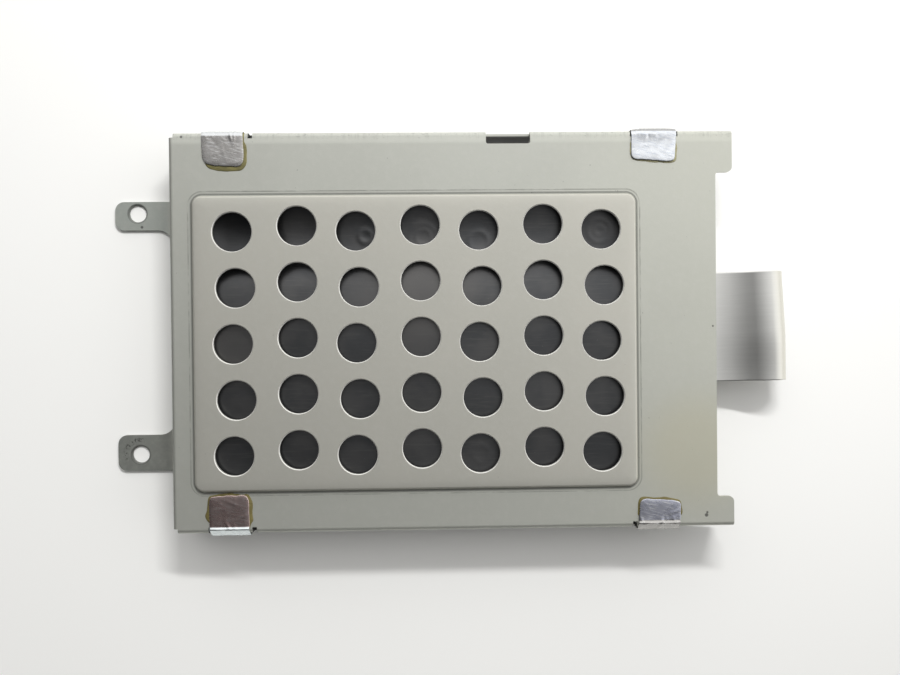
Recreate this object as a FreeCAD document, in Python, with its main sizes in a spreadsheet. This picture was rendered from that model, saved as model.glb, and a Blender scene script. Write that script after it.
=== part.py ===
import FreeCAD, Part
import math
import os
import re

import Sketcher

# Laptop drive caddy for a 2.5 inch drive, in millimetres.
# The origin is midway between the two ear holes, on the plane that the tray stands on.
# +X runs along the tray towards the pull tab, +Y to the back wall, +Z up through the perforated lid.

# Driving sizes: each one is written once here and lives in a cell of the sheet
SIZES = {
    # The drive that the tray is folded round, and the room it gets
    "drive_length": 100.45,
    "drive_width": 69.85,
    "drive_height": 9.5,
    "drive_end_gap": 0.25,
    "drive_recess": 0.2,
    "drive_side_gap": 0.425,
    "drive_screw_inset": 14.0,
    "drive_screw_far_inset": 9.85,
    "drive_screw_height": 3.0,
    "drive_screw_bore": 3.2,
    # The folded sheet
    "sheet_gauge": 0.6,
    "bend_inside": 0.2,
    "corner_relief": 0.9,
    "foot_relief": 0.5,
    # The two lips at the open end
    "lip_length": 3.05,
    "back_lip_width": 7.6,
    "front_lip_width": 5.45,
    "lip_corner": 1.0,
    "lip_fillet": 0.6,
    # The raised plateau, the margins round it and the shallow draw line at its foot
    "margin_left": 4.0,
    "margin_right": 14.4,
    "margin_back": 11.13,
    "margin_front": 7.35,
    "plateau_raise": 0.8,
    "plateau_slope": 0.45,
    "plateau_corner": 2.0,
    "plateau_crown": 0.4,
    "draw_line_width": 0.55,
    "draw_line_depth": 0.05,
    # The air holes, from the plateau's edges: even columns stand further back,
    # odd columns shift sideways in every other row
    "air_bore": 7.0,
    "air_rim": 0.16,
    "air_first_column": 7.9,
    "air_last_column": 6.15,
    "air_first_row": 6.77,
    "air_last_row": 6.65,
    "air_column_lift": 1.0,
    "air_row_shift": 0.52,
    # The latch window in the back bend
    "latch_from_wall": 60.9,
    "latch_width": 8.0,
    "latch_depth": 2.25,
    "latch_drop": 2.1,
    "latch_corner": 0.4,
    # The long walls' rim and the four screw tongues that reach down past it,
    # with a notch in the bend at both sides of each tongue
    "wall_rim": 3.4,
    "tongue_width": 7.0,
    "tongue_notch": 0.82,
    "tongue_notch_depth": 1.1,
    "tongue_notch_drop": 2.1,
    # The foot flange of the end wall and its two screw ears
    "flange_reach": 2.65,
    "ear_reach": 13.65,
    "ear_hole_reach": 9.4,
    "ear_hole_pitch": 46.25,
    "ear_bore": 3.2,
    "ear_bore_edge": 0.25,
    "ear_corner": 1.7,
    "ear_fillet": 3.0,
    "back_ear_outside": 2.25,
    "back_ear_inside": 3.2,
    "front_ear_outside": 3.1,
    "front_ear_inside": 3.75,
    # The adhesive pads and the foils that wrap over them
    "glue_thickness": 0.4,
    "glue_corner": 1.4,
    "glue_spare": 0.3,
    "foil_thickness": 0.15,
    "foil_corner": 0.6,
    "wrap_drop": 4.3,
    # The insulating film under the air holes
    "liner_film": 0.2,
    "liner_bond": 2.6,
    "liner_gap": 0.75,
    # The pull tab
    "tab_film": 0.2,
    "tab_tape": 0.1,
    "tab_width": 19.8,
    "tab_bond": 11.0,
    "tab_tape_inset": 0.8,
    "tab_straight": 0.2,
    "tab_dip_radius": 3.5,
    "tab_dip_angle": 45.0,
    "tab_fall": 3.0,
    "tab_crest_angle": 8.0,
    "tab_crest": 3.7,
    "tab_curl_radius": 4.0,
    "tab_curl_angle": 80.0,
    "tab_tail": 0.8,
    "tab_shift": 0.25,
    "tab_skew_angle": 0.9,
}

# Each wrap: the foil's shift along the wall from its screw, its width and the gap it leaves to the plateau,
# and how far the glue shows beyond the foil's end and is shifted sideways under it
WRAPS = {
    "back_left": {"shift": -0.8, "width": 7.25, "gap": 5.18, "glue_end": 0.95, "glue_shift": 0.25},
    "back_right": {"shift": -0.1, "width": 8.3, "gap": 5.53, "glue_end": 0.3, "glue_shift": 0.0},
    "front_left": {"shift": -0.45, "width": 7.3, "gap": 0.65, "glue_end": 0.25, "glue_shift": -0.1},
    "front_right": {"shift": 0.55, "width": 7.75, "gap": 2.15, "glue_end": 0.3, "glue_shift": 0.0},
}
for wrap, wrap_sizes in WRAPS.items():
    SIZES.update({f"{wrap}_{name}": value for name, value in wrap_sizes.items()})

AIR_COLUMNS = 7
AIR_ROWS = 5

# Places worked out from the driving sizes
BEND_OUTSIDE = "(bend_inside + sheet_gauge)"
WALL_OUT = "ear_hole_reach"
WALL_IN = "(ear_hole_reach + sheet_gauge)"
SIDE_START = "(ear_hole_reach + corner_relief)"
DRIVE_FACE = f"({WALL_IN} + drive_end_gap + drive_length)"
TIP = f"({DRIVE_FACE} + drive_recess)"
LID_RIGHT = f"({TIP} - lip_length)"
SIDE_IN = "(drive_width / 2 + drive_side_gap)"
SIDE_OUT = f"({SIDE_IN} + sheet_gauge)"
END_WALL_FOOT = f"({BEND_OUTSIDE} + foot_relief)"
END_WALL_HALF = f"({SIDE_OUT} - corner_relief)"
LID_UNDER = "(drive_height + tab_film + tab_tape)"
LID_TOP = f"({LID_UNDER} + sheet_gauge)"
PLATEAU_TOP = f"({LID_TOP} + plateau_raise)"
SCREW_RIGHT = f"({DRIVE_FACE} - drive_screw_inset)"
SCREW_LEFT = f"({WALL_IN} + drive_end_gap + drive_screw_far_inset)"
PLATEAU_LEFT = f"({WALL_OUT} + margin_left)"
PLATEAU_RIGHT = f"({LID_RIGHT} - margin_right)"
PLATEAU_BACK = f"({SIDE_OUT} - margin_back)"
PLATEAU_FRONT = f"(margin_front - {SIDE_OUT})"
AIR_SPAN_X = f"({PLATEAU_RIGHT} - {PLATEAU_LEFT} - air_first_column - air_last_column)"
AIR_SPAN_Y = f"({PLATEAU_BACK} - {PLATEAU_FRONT} - air_first_row - air_last_row)"
AIR_COLUMN_PITCH = f"({AIR_SPAN_X} / {AIR_COLUMNS - 1})"
AIR_ROW_PITCH = f"({AIR_SPAN_Y} / {AIR_ROWS - 1})"
EAR_TIP = "(ear_hole_reach - ear_reach)"
FLANGE_EDGE = "(ear_hole_reach - flange_reach)"
BACK_EAR_OUT = "(ear_hole_pitch / 2 + back_ear_outside)"
BACK_EAR_IN = "(ear_hole_pitch / 2 - back_ear_inside)"
FRONT_EAR_OUT = "(0 - ear_hole_pitch / 2 - front_ear_outside)"
FRONT_EAR_IN = "(0 - ear_hole_pitch / 2 + front_ear_inside)"
DRAW_HEIGHT = "(plateau_raise + draw_line_depth)"
DRAW_INSET = f"(sheet_gauge * (sqrt(plateau_slope ^ 2 + {DRAW_HEIGHT} ^ 2) - plateau_slope) / {DRAW_HEIGHT})"
CUT_ROOM = "sheet_gauge"

# A pattern's step that takes the pattern's own spacing
EVEN_SPACING = -1

# Tolerance for picking edges by their place
PICK = 1e-4

doc = FreeCAD.newDocument("DriveCaddy")
sheet = doc.addObject("Spreadsheet::Sheet", "Sizes")
for row, (alias, value) in enumerate(SIZES.items(), start=1):
    sheet.set(f"A{row}", alias)
    sheet.set(f"B{row}", str(value))
    sheet.setAlias(f"B{row}", alias)
doc.recompute()


def bound(formula):
    """Return a formula of size names as an expression on the sheet's cells."""
    return re.sub(r"\b([a-z][a-z0-9_]*)\b(?!\s*\()", r"Sizes.\1", formula)


def number(formula):
    """Return the present value of a formula of size names."""
    return float(sheet.evalExpression(bound(formula)))


def bind(item, **formulas):
    """Tie properties of a feature to formulas of size names."""
    for name, formula in formulas.items():
        item.setExpression(name, bound(formula))


def sketch_on(body, name, role, offset=None):
    """Add a sketch on one of the body's origin planes, moved along its normal by a formula."""
    sketch = body.newObject("Sketcher::SketchObject", name)
    plane = next(item for item in body.Origin.OriginFeatures if item.Role == role)
    sketch.AttachmentSupport = (plane, "")
    sketch.MapMode = "FlatFace"
    if offset:
        sketch.setExpression("AttachmentOffset.Base.z", bound(offset))
    return sketch


def dimension(sketch, formula, kind, *where):
    """Add a dimension to a sketch and tie it to a formula."""
    index = sketch.addConstraint(Sketcher.Constraint(kind, *where, number(formula)))
    sketch.setExpression(f"Constraints[{index}]", bound(formula))


def locate(sketch, axis, formula, geometry, point):
    """Hold a point at a formula's distance from the sketch origin, along its x or y axis."""
    if formula == "0":
        line = -2 if axis == "x" else -1
        sketch.addConstraint(Sketcher.Constraint("PointOnObject", geometry, point, line))
    else:
        dimension(sketch, formula, "DistanceX" if axis == "x" else "DistanceY", geometry, point)


def outline(sketch, sides, rounds=None):
    """Draw a closed outline of upright and level sides, with tangent arcs at the corners in rounds.

    sides holds (axis, formula) in turn: "x" is an upright side at that x, "y" a level side at that y.
    rounds maps the number of a side to the radius of the corner at its end.
    """
    rounds = rounds or {}
    count = len(sides)
    places = [number(formula) for _, formula in sides]
    corners = []
    for i in range(count):
        after = (i + 1) % count
        upright = i if sides[i][0] == "x" else after
        level = after if upright == i else i
        corners.append(FreeCAD.Vector(places[upright], places[level], 0))
    radii = [number(rounds[i]) if i in rounds else 0 for i in range(count)]
    headings = [(corners[i] - corners[i - 1]).normalize() for i in range(count)]
    lines = []
    for i, (axis, formula) in enumerate(sides):
        start = corners[i - 1] + headings[i] * radii[i - 1]
        end = corners[i] - headings[i] * radii[i]
        line = sketch.addGeometry(Part.LineSegment(start, end), False)
        sketch.addConstraint(Sketcher.Constraint("Vertical" if axis == "x" else "Horizontal", line))
        locate(sketch, axis, formula, line, 1)
        lines.append(line)
    for i in range(count):
        after = lines[(i + 1) % count]
        if i not in rounds:
            sketch.addConstraint(Sketcher.Constraint("Coincident", lines[i], 2, after, 1))
            continue
        into, out = headings[i], headings[(i + 1) % count]
        begin = corners[i] - into * radii[i]
        finish = corners[i] + out * radii[i]
        centre = begin + out * radii[i]
        left_turn = into.cross(out).z > 0
        first, last = (begin, finish) if left_turn else (finish, begin)
        angles = [math.atan2(p.y - centre.y, p.x - centre.x) for p in (first, last)]
        circle = Part.Circle(centre, FreeCAD.Vector(0, 0, 1), radii[i])
        arc = sketch.addGeometry(Part.ArcOfCircle(circle, *angles), False)
        near, far = (1, 2) if left_turn else (2, 1)
        sketch.addConstraint(Sketcher.Constraint("Tangent", lines[i], 2, arc, near))
        sketch.addConstraint(Sketcher.Constraint("Tangent", arc, far, after, 1))
        dimension(sketch, rounds[i], "Radius", arc)


def round_hole(sketch, across, up, bore):
    """Draw a circle at formulas of place, with a formula of diameter."""
    centre = FreeCAD.Vector(number(across), number(up), 0)
    circle = sketch.addGeometry(Part.Circle(centre, FreeCAD.Vector(0, 0, 1), number(bore) / 2), False)
    dimension(sketch, bore, "Diameter", circle)
    locate(sketch, "x", across, circle, 3)
    locate(sketch, "y", up, circle, 3)


def add(body, kind, name, sketch, settings=None, **formulas):
    """Add a feature to a body and stop if it leaves the solid's volume as it was."""
    before = body.Shape.Volume if body.Tip else 0
    made = body.newObject(f"PartDesign::{kind}", name)
    made.Profile = sketch
    for setting, value in (settings or {}).items():
        setattr(made, setting, value)
    bind(made, **formulas)
    doc.recompute()
    if abs(body.Shape.Volume - before) < PICK:
        raise RuntimeError(f"{name} changes nothing")
    return made


def edges_where(body, test):
    """Return the names of the body's edges that pass a test."""
    return [f"Edge{i}" for i, edge in enumerate(body.Shape.Edges, start=1) if test(edge)]


def round_edges(body, name, radius, test):
    """Fillet the edges that pass a test."""
    base = body.Tip
    made = body.newObject("PartDesign::Fillet", name)
    made.Base = (base, edges_where(body, test))
    bind(made, Radius=radius)
    doc.recompute()


def upright_at(*places):
    """Return a test for upright straight edges that stand at one of the (x, y) formulas."""
    points = [(number(x), number(y)) for x, y in places]

    def test(edge):
        box = edge.BoundBox
        if box.XLength > PICK or box.YLength > PICK:
            return False
        return any(abs(box.XMin - x) < PICK and abs(box.YMin - y) < PICK for x, y in points)

    return test


def break_rims(body, name, size, bore, top):
    """Chamfer the upper rims of the holes of one bore that open at one height."""
    radius, height = number(f"{bore} / 2"), number(top)

    def rim(edge):
        if not isinstance(edge.Curve, Part.Circle):
            return False
        return abs(edge.Curve.Radius - radius) < PICK and abs(edge.BoundBox.ZMin - height) < PICK

    base = body.Tip
    made = body.newObject("PartDesign::Chamfer", name)
    made.Base = (base, edges_where(body, rim))
    bind(made, Size=size)
    doc.recompute()


def plateau_outline(body, name, z, inset, corner):
    """Draw the plateau's rounded rectangle at a height, drawn in from its foot by an inset."""
    sketch = sketch_on(body, name, "XY_Plane", z)
    sides = [
        ("y", f"{PLATEAU_FRONT} + {inset}"),
        ("x", f"{PLATEAU_RIGHT} - {inset}"),
        ("y", f"{PLATEAU_BACK} - {inset}"),
        ("x", f"{PLATEAU_LEFT} + {inset}"),
    ]
    outline(sketch, sides, {i: corner for i in range(len(sides))})
    return sketch


def fold_tray(body):
    """Fold the lid with its two long walls, the end wall, and the flange at the end wall's foot."""
    channel = sketch_on(body, "ChannelSection", "YZ_Plane", SIDE_START)
    sides = [
        ("x", f"0 - {SIDE_OUT}"),
        ("y", LID_TOP),
        ("x", SIDE_OUT),
        ("y", "0"),
        ("x", SIDE_IN),
        ("y", LID_UNDER),
        ("x", f"0 - {SIDE_IN}"),
        ("y", "0"),
    ]
    bends = {0: BEND_OUTSIDE, 1: BEND_OUTSIDE, 4: "bend_inside", 5: "bend_inside"}
    outline(channel, sides, bends)
    add(body, "Pad", "Channel", channel, Length=f"{TIP} - {SIDE_START}")

    wall = sketch_on(body, "EndWallSection", "XZ_Plane", f"0 - {END_WALL_HALF}")
    sides = [
        ("y", LID_TOP),
        ("x", WALL_OUT),
        ("y", END_WALL_FOOT),
        ("x", WALL_IN),
        ("y", LID_UNDER),
        ("x", SIDE_START),
    ]
    outline(wall, sides, {0: BEND_OUTSIDE, 3: "bend_inside"})
    add(body, "Pad", "EndWall", wall, Length=f"2 * {END_WALL_HALF}")

    flange = sketch_on(body, "FlangeSection", "XZ_Plane", f"0 - {BACK_EAR_OUT}")
    sides = [
        ("y", END_WALL_FOOT),
        ("x", WALL_OUT),
        ("y", "sheet_gauge"),
        ("x", EAR_TIP),
        ("y", "0"),
        ("x", WALL_IN),
    ]
    outline(flange, sides, {1: "bend_inside", 4: BEND_OUTSIDE})
    add(body, "Pad", "Flange", flange, Length=f"{BACK_EAR_OUT} - {FRONT_EAR_OUT}")


def shape_ears(body):
    """Cut the flange back between the two ears, round the ears' tips and bore them."""
    between = sketch_on(body, "BetweenEars", "XY_Plane")
    sides = [
        ("y", FRONT_EAR_IN),
        ("x", FLANGE_EDGE),
        ("y", BACK_EAR_IN),
        ("x", f"{EAR_TIP} - {CUT_ROOM}"),
    ]
    outline(between, sides, {0: "ear_fillet", 1: "ear_fillet"})
    add(body, "Pocket", "EarGap", between, {"Reversed": True}, Length="sheet_gauge")
    tips = [(EAR_TIP, y) for y in (BACK_EAR_OUT, BACK_EAR_IN, FRONT_EAR_IN, FRONT_EAR_OUT)]
    round_edges(body, "EarTips", "ear_corner", upright_at(*tips))
    bores = sketch_on(body, "EarBores", "XY_Plane")
    for y in ("ear_hole_pitch / 2", "0 - ear_hole_pitch / 2"):
        round_hole(bores, "0", y, "ear_bore")
    add(body, "Pocket", "EarHoles", bores, {"Reversed": True}, Length="sheet_gauge")
    break_rims(body, "EarHoleEdges", "ear_bore_edge", "ear_bore", "sheet_gauge")


def cut_open_end(body):
    """Cut the lid back between the two lips of the open end and round their corners."""
    gap = sketch_on(body, "OpenEnd", "XY_Plane")
    back, front = f"{SIDE_OUT} - back_lip_width", f"front_lip_width - {SIDE_OUT}"
    sides = [
        ("y", front),
        ("x", f"{TIP} + {CUT_ROOM}"),
        ("y", back),
        ("x", LID_RIGHT),
    ]
    outline(gap, sides, {2: "lip_fillet", 3: "lip_fillet"})
    add(body, "Pocket", "LipGap", gap, {"Reversed": True, "Type": "ThroughAll"})
    round_edges(body, "LipCorners", "lip_corner", upright_at((TIP, back), (TIP, front)))


def cut_walls(body):
    """Cut the long walls' rims, the notches by the tongues, the latch window and the screw holes."""
    rims = sketch_on(body, "WallRims", "XZ_Plane")
    half = "tongue_width / 2"
    spans = [
        (f"({WALL_IN} + {SIDE_START}) / 2", f"{SCREW_LEFT} - {half}"),
        (f"{SCREW_LEFT} + {half}", f"{SCREW_RIGHT} - {half}"),
        (f"{SCREW_RIGHT} + {half}", f"{TIP} + {CUT_ROOM}"),
    ]
    for left, right in spans:
        outline(rims, [("y", f"0 - {CUT_ROOM}"), ("x", right), ("y", "wall_rim"), ("x", left)])
    add(body, "Pocket", "WallRim", rims, {"Type": "ThroughAll", "SideType": "Symmetric"})

    notches = sketch_on(body, "TongueNotches", "XY_Plane", LID_TOP)
    inner, outer = f"({SIDE_OUT} - tongue_notch_depth)", f"({SIDE_OUT} + {CUT_ROOM})"
    for screw in (SCREW_LEFT, SCREW_RIGHT):
        for hand in ("-", "+"):
            near = f"{screw} {hand} {half}"
            far = f"{near} {hand} tongue_notch"
            for sign in ("", "0 - "):
                sides = [("y", sign + inner), ("x", near), ("y", sign + outer), ("x", far)]
                outline(notches, sides)
    add(body, "Pocket", "TongueNotch", notches, Length="tongue_notch_drop")

    latch = sketch_on(body, "LatchOutline", "XY_Plane", LID_TOP)
    middle = f"{WALL_OUT} + latch_from_wall"
    sides = [
        ("y", f"{SIDE_OUT} - latch_depth"),
        ("x", f"{middle} + latch_width / 2"),
        ("y", f"{SIDE_OUT} + {CUT_ROOM}"),
        ("x", f"{middle} - latch_width / 2"),
    ]
    outline(latch, sides, {0: "latch_corner", 3: "latch_corner"})
    add(body, "Pocket", "LatchWindow", latch, Length="latch_drop")

    screws = sketch_on(body, "ScrewBores", "XZ_Plane")
    for screw in (SCREW_LEFT, SCREW_RIGHT):
        round_hole(screws, screw, "drive_screw_height", "drive_screw_bore")
    add(body, "Pocket", "ScrewHoles", screws, {"Type": "ThroughAll", "SideType": "Symmetric"})


def draw_plateau(body):
    """Draw the plateau out of the lid: a shallow line round its foot, its slopes and the hollow below."""
    spread = "(0 - draw_line_width)"
    line = plateau_outline(body, "DrawLine", LID_TOP, spread, "plateau_corner + draw_line_width")
    add(body, "Pocket", "DrawLineCut", line, Length="draw_line_depth")
    foot_level = f"({LID_TOP} - draw_line_depth)"
    foot = plateau_outline(body, "PlateauFoot", foot_level, "0", "plateau_corner")
    crown_corner = "plateau_corner - plateau_slope"
    crown = plateau_outline(body, "PlateauCrown", PLATEAU_TOP, "plateau_slope", crown_corner)
    add(body, "AdditiveLoft", "Plateau", foot, {"Sections": [crown], "Ruled": True})
    hollow_inset = f"(plateau_slope + {DRAW_INSET})"
    hollow_top = f"({PLATEAU_TOP} - sheet_gauge)"
    mouth = plateau_outline(body, "HollowMouth", f"({LID_UNDER} - draw_line_depth)", DRAW_INSET,
                            f"plateau_corner - {DRAW_INSET}")
    roof = plateau_outline(body, "HollowRoof", hollow_top, hollow_inset, f"plateau_corner - {hollow_inset}")
    add(body, "SubtractiveLoft", "Hollow", mouth, {"Sections": [roof], "Ruled": True})
    top = number(PLATEAU_TOP)
    round_edges(body, "PlateauCrownRound", "plateau_crown", lambda edge: edge.BoundBox.ZMin > top - PICK)


def perforate(body):
    """Cut the air holes in three patterns, each from one seed hole, and break the rims of the holes."""
    first_x = f"{PLATEAU_LEFT} + air_first_column"
    second_x = f"{first_x} + {AIR_COLUMN_PITCH}"
    first_y = f"{PLATEAU_BACK} - air_first_row"
    odd_columns, even_columns = (AIR_COLUMNS + 1) // 2, AIR_COLUMNS // 2
    odd_rows, even_rows = (AIR_ROWS + 1) // 2, AIR_ROWS // 2
    patterns = {
        "OddRows": (f"{first_x} - air_row_shift", first_y, odd_columns, odd_rows, 2),
        "EvenRows": (first_x, f"{first_y} - {AIR_ROW_PITCH}", odd_columns, even_rows, 2),
        "Lifted": (second_x, f"{first_y} + air_column_lift", even_columns, AIR_ROWS, 1),
    }
    axes = {item.Role: item for item in body.Origin.OriginFeatures}
    for name, (x, y, columns, rows, row_steps) in patterns.items():
        seed = sketch_on(body, f"{name}Seed", "XY_Plane", PLATEAU_TOP)
        round_hole(seed, x, y, "air_bore")
        hole = add(body, "Pocket", f"{name}Hole", seed, Length="plateau_raise + sheet_gauge")
        grid = body.newObject("PartDesign::LinearPattern", f"{name}Grid")
        grid.Originals = [hole]
        grid.Direction = (axes["X_Axis"], [""])
        grid.Direction2 = (axes["Y_Axis"], [""])
        grid.Reversed2 = True
        grid.Mode = grid.Mode2 = "Spacing"
        bind(grid, Offset=f"2 * {AIR_COLUMN_PITCH}", Offset2=f"{row_steps} * {AIR_ROW_PITCH}")
        grid.Occurrences, grid.Occurrences2 = columns, rows
        grid.Spacings2 = [EVEN_SPACING] * (rows - 1)
        body.Tip = grid
        doc.recompute()
    break_rims(body, "AirHoleRims", "air_rim", "air_bore", PLATEAU_TOP)


def make_tray():
    """Build the folded tray."""
    body = doc.addObject("PartDesign::Body", "Tray")
    body.Label = "tray"
    fold_tray(body)
    draw_plateau(body)
    shape_ears(body)
    cut_open_end(body)
    cut_walls(body)
    perforate(body)
    return body


def make_wrap(label, wrap, inner, outer, width, reach, corner, shift):
    """Fold one layer of a wrap over the bend: its section follows the wall between two offsets."""
    body = doc.addObject("PartDesign::Body", label.title().replace("_", ""))
    body.Label = label
    section = sketch_on(body, f"{body.Name}Section", "YZ_Plane", f"0 - ({width}) / 2")
    end = f"{SIDE_OUT} - ({reach})"
    sides = [
        ("y", f"{LID_TOP} + {outer}"),
        ("x", f"{SIDE_OUT} + {outer}"),
        ("y", f"{LID_TOP} - wrap_drop"),
        ("x", f"{SIDE_OUT} + {inner}"),
        ("y", f"{LID_TOP} + {inner}"),
        ("x", end),
    ]
    outline(section, sides, {0: f"{BEND_OUTSIDE} + {outer}", 3: f"{BEND_OUTSIDE} + {inner}"})
    add(body, "Pad", f"{body.Name}Strip", section, Length=width)
    ends = [(f"({width}) / 2", end), (f"0 - ({width}) / 2", end)]
    round_edges(body, f"{body.Name}Corners", corner, upright_at(*ends))
    side, hand = wrap.split("_")
    screw = SCREW_LEFT if hand == "left" else SCREW_RIGHT
    half_turn = 180 if side == "front" else 0
    body.Placement.Rotation = FreeCAD.Rotation(FreeCAD.Vector(0, 0, 1), half_turn)
    body.setExpression("Placement.Base.x", bound(f"{screw} + {shift}"))
    return body


def foil_reach(wrap):
    """Return how far a foil reaches from the wall on to the lid: up to its gap before the plateau."""
    side = wrap.split("_")[0]
    return f"margin_{side} - {wrap}_gap"


def make_foil(wrap):
    """Fold one foil over its adhesive pad."""
    outer = "(glue_thickness + foil_thickness)"
    return make_wrap(f"foil_{wrap}", wrap, "glue_thickness", outer, f"{wrap}_width", foil_reach(wrap),
                     "foil_corner", f"{wrap}_shift")


def make_glue(wrap):
    """Lay one adhesive pad over the bend, a little larger than its foil."""
    width, reach = f"{wrap}_width + 2 * glue_spare", f"{foil_reach(wrap)} + {wrap}_glue_end"
    return make_wrap(f"glue_{wrap}", wrap, "0", "glue_thickness", width, reach,
                     "glue_corner", f"{wrap}_shift + {wrap}_glue_shift")


def make_liner():
    """Lay the insulating film flat under the lid, across the plateau's hollow and up to the tab's root."""
    body = doc.addObject("PartDesign::Body", "Liner")
    body.Label = "liner"
    sheet = sketch_on(body, "LinerOutline", "XY_Plane", f"{LID_UNDER} - liner_film")
    sides = [
        ("y", f"{PLATEAU_FRONT} - liner_bond"),
        ("x", f"{LID_RIGHT} - tab_bond - liner_gap"),
        ("y", f"{PLATEAU_BACK} + liner_bond"),
        ("x", f"{PLATEAU_LEFT} - liner_bond"),
    ]
    outline(sheet, sides)
    add(body, "Pad", "LinerSheet", sheet, Length="liner_film")
    return body


def make_pull_tab():
    """Sweep the film's thin section along its path: flat under the lid, a dip, a crest and a curled end."""
    body = doc.addObject("PartDesign::Body", "PullTab")
    body.Label = "pull_tab"
    path = sketch_on(body, "TabPath", "XZ_Plane")
    middle = f"{LID_UNDER} - tab_tape - tab_film / 2"
    runs = [
        ("tab_bond + tab_straight", None),
        ("tab_fall", "0 - tab_dip_angle"),
        ("tab_crest", "tab_crest_angle"),
        ("tab_tail", "0 - tab_curl_angle"),
    ]
    bends = ["tab_dip_radius", "tab_dip_radius", "tab_curl_radius"]
    spot = FreeCAD.Vector(number("0 - tab_bond"), number(middle), 0)
    heading = 0.0
    before = None
    for i, (length, angle) in enumerate(runs):
        turned = math.radians(number(angle)) if angle else 0.0
        if i:
            radius = number(bends[i - 1])
            hand = 1 if turned > heading else -1
            centre = spot + FreeCAD.Vector(-math.sin(heading), math.cos(heading), 0) * radius * hand
            facing = [heading - hand * math.pi / 2, turned - hand * math.pi / 2]
            circle = Part.Circle(centre, FreeCAD.Vector(0, 0, 1), radius)
            arc = path.addGeometry(Part.ArcOfCircle(circle, *facing[::hand]), False)
            near, far = (1, 2) if hand > 0 else (2, 1)
            path.addConstraint(Sketcher.Constraint("Tangent", before, 2, arc, near))
            dimension(path, bends[i - 1], "Radius", arc)
            spot = centre + FreeCAD.Vector(math.cos(facing[1]), math.sin(facing[1]), 0) * radius
        heading = turned
        end = spot + FreeCAD.Vector(math.cos(heading), math.sin(heading), 0) * number(length)
        line = path.addGeometry(Part.LineSegment(spot, end), False)
        if i:
            path.addConstraint(Sketcher.Constraint("Tangent", arc, far, line, 1))
            index = path.addConstraint(Sketcher.Constraint("Angle", line, heading))
            path.setExpression(f"Constraints[{index}]", bound(angle))
        else:
            path.addConstraint(Sketcher.Constraint("Horizontal", line))
            locate(path, "x", "0 - tab_bond", line, 1)
            locate(path, "y", middle, line, 1)
        dimension(path, length, "Distance", line)
        spot = end
        before = line
    film = sketch_on(body, "FilmSection", "YZ_Plane", "0 - tab_bond")
    sides = [
        ("y", f"{LID_UNDER} - tab_tape - tab_film"),
        ("x", "tab_width / 2"),
        ("y", f"{LID_UNDER} - tab_tape"),
        ("x", "0 - tab_width / 2"),
    ]
    outline(film, sides)
    add(body, "AdditivePipe", "Film", film, {"Spine": (path, [])})
    skew_on_lid(body)
    return body


def skew_on_lid(item):
    """Set a piece at the lid's open edge, shifted and turned as the tab was stuck on."""
    item.Placement.Rotation = FreeCAD.Rotation(FreeCAD.Vector(0, 0, 1), number("tab_skew_angle"))
    item.setExpression("Placement.Rotation.Angle", bound("tab_skew_angle"))
    item.setExpression("Placement.Base.x", bound(LID_RIGHT))
    item.setExpression("Placement.Base.y", bound("tab_shift"))


def make_tape():
    """Lay the tape between the film and the lid."""
    body = doc.addObject("PartDesign::Body", "PullTabTape")
    body.Label = "pull_tab_tape"
    patch = sketch_on(body, "TapeOutline", "XY_Plane", f"{LID_UNDER} - tab_tape")
    sides = [
        ("y", "tab_tape_inset - tab_width / 2"),
        ("x", "0 - 2 * tab_tape_inset"),
        ("y", "tab_width / 2 - tab_tape_inset"),
        ("x", "tab_tape_inset - tab_bond"),
    ]
    outline(patch, sides)
    add(body, "Pad", "Tape", patch, Length="tab_tape")
    skew_on_lid(body)
    return body


def check(parts):
    """Stop if any object failed or any sub-part's shape is not one valid solid."""
    doc.recompute()
    for item in doc.Objects:
        if "Invalid" in item.State or "Error" in item.State:
            raise RuntimeError(f"{item.Label} failed: {item.State}")
    for part in parts:
        if part.Shape.isNull() or not part.Shape.isValid() or len(part.Shape.Solids) != 1:
            raise RuntimeError(f"{part.Label} is not one valid solid")


def main():
    """Build every sub-part, check it and write it out."""
    parts = [make_tray()]
    for wrap in WRAPS:
        parts += [make_foil(wrap), make_glue(wrap)]
    parts += [make_liner(), make_pull_tab(), make_tape()]
    check(parts)
    os.makedirs("parts", exist_ok=True)
    for part in parts:
        part.Shape.exportStep(f"parts/{part.Label}.step")
        print(part.Label, round(part.Shape.Volume, 2), part.Shape.BoundBox)


main()
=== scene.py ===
import math

import bpy
import numpy as np
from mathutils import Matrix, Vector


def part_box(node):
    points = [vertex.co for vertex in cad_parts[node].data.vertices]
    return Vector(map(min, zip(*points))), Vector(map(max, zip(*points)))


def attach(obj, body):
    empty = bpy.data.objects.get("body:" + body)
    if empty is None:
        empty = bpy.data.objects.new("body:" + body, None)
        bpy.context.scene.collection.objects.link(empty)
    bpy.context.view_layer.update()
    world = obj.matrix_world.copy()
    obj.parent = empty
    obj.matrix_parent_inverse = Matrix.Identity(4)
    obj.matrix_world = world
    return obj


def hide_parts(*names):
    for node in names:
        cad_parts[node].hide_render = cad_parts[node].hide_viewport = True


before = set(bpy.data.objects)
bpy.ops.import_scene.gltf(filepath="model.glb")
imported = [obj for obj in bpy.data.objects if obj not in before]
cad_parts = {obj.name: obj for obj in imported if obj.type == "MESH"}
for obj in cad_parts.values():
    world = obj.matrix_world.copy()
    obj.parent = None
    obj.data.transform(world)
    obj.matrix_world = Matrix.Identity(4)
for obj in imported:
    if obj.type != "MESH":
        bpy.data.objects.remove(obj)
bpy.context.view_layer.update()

# Laptop drive caddy. Sizes and places are in millimetres, in the frame of the solids.
MM = 0.001

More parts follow.
